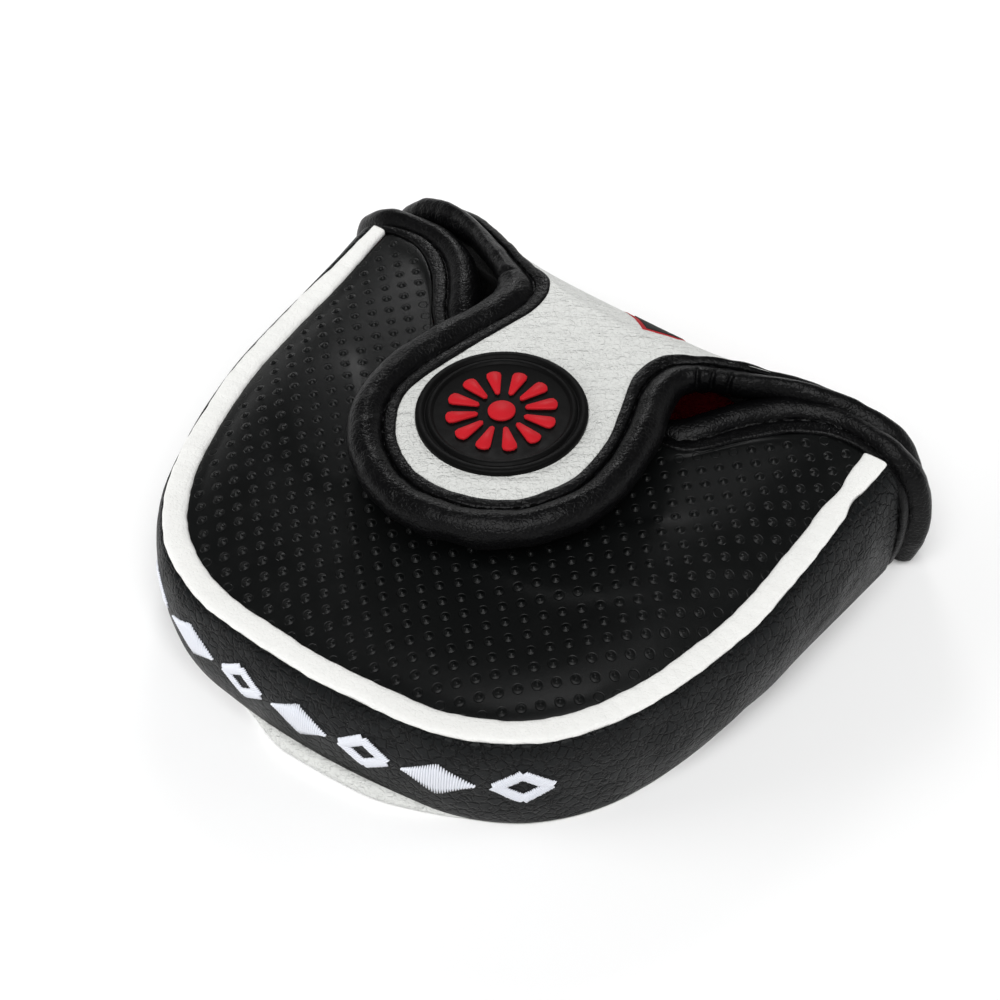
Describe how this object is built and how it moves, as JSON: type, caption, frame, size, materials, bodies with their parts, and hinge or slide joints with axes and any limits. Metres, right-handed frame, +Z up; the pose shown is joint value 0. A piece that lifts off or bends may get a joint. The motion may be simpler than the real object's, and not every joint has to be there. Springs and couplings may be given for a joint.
{
  "type": "putter head cover",
  "caption": "D-shaped padded golf putter cover with a hinged back panel and a magnetic tongue that folds over the top.",
  "frame": {"origin": "on the flat sole's underside, below the line that joins the two ends of the piping", "axes": "+X across the cover, +Y out of the mouth, +Z up from the sole"},
  "size_m": [0.123, 0.1049, 0.0371],
  "materials": {
    "white_leather": "soft satin, fine grain",
    "dotted_leather": "semi-matte, raised dots",
    "pebbled_leather": "semi-matte, pebbled grain",
    "binding_leather": "satin, smooth rolled",
    "piping_leather": "satin",
    "foam": "matte open cell",
    "lining": "plush pile",
    "magnet": "nickel plated",
    "pouch_cloth": "matte weave",
    "badge_rubber": "moulded, semi-matte",
    "emblem_red": "moulded, satin",
    "thread_white": "satin stitch",
    "patch_cloth": "woven"
  },
  "bodies": {
    "shell": {"sole_leather": "white_leather", "sole_foam": "foam", "sole_lining": "lining", "band_leather": "pebbled_leather", "band_foam": "foam", "band_lining": "lining", "piping": "piping_leather", "top_lining": "lining", "top_leather": "dotted_leather", "top_foam": "foam", "body_magnet": "magnet", "body_magnet_pouch": "pouch_cloth", "mouth_binding": "binding_leather", "rear_embroidery": "thread_white"},
    "back_panel": {"back_leather": "white_leather", "back_foam": "foam", "back_lining": "lining", "back_binding_left": "binding_leather", "back_binding_right": "binding_leather", "back_patch": "patch_cloth"},
    "flap": {"flap_leather": "white_leather", "flap_lining": "lining", "flap_magnet": "magnet", "flap_magnet_pouch": "pouch_cloth", "flap_foam": "foam", "flap_binding": "binding_leather", "badge": "badge_rubber", "badge_emblem": "emblem_red"}
  },
  "joints": [
    {"name": "back_panel_hinge", "type": "hinge", "parent": "shell", "child": "back_panel", "pos_m": [0, 0.015, 0.001], "axis": [-1, 0, 0], "range_deg": [0, 90]},
    {"name": "tongue_hinge", "type": "hinge", "parent": "back_panel", "child": "flap", "pos_m": [0, -0.002, 0.0373], "axis": [-1, 0, 0], "range_deg": [0, 100]}
  ]
}
